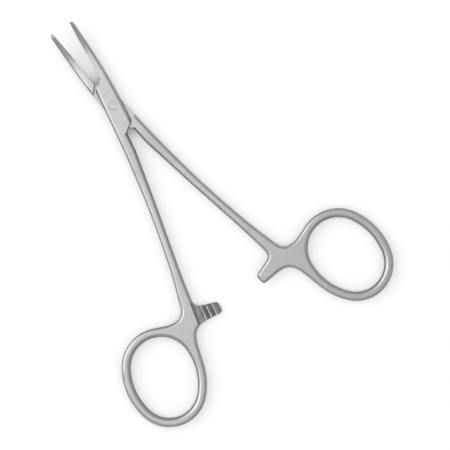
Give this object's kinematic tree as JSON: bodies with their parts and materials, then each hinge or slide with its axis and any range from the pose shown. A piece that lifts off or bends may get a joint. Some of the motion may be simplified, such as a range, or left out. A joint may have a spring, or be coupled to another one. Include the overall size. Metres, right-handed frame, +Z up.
{
  "type": "mosquito forceps",
  "caption": "Slim curved locking forceps with a box lock, serrated jaws that curve upward, bowed shanks, a ratchet and oval finger rings.",
  "frame": {"origin": "on the pivot axis, at the underside of the box lock", "axes": "+Y towards the jaw tips along the middle line between the halves, +Z up, the way the jaws curve, +X to the side of the box half's jaw"},
  "size_m": [0.0934, 0.1224, 0.0074],
  "materials": {
    "satin_steel": "fine satin, bead blasted",
    "ground_steel": "ground flush and satin"
  },
  "bodies": {
    "box_half": {"female_half": "satin_steel", "pivot_pin": "ground_steel"},
    "tongue_half": {"male_half": "satin_steel"}
  },
  "joints": [
    {"name": "box_lock_pivot", "type": "hinge", "parent": "box_half", "child": "tongue_half", "pos_m": [0, 0, 0.0021], "axis": [0, 0, 1], "range_deg": [-12.92, 47.08]}
  ]
}
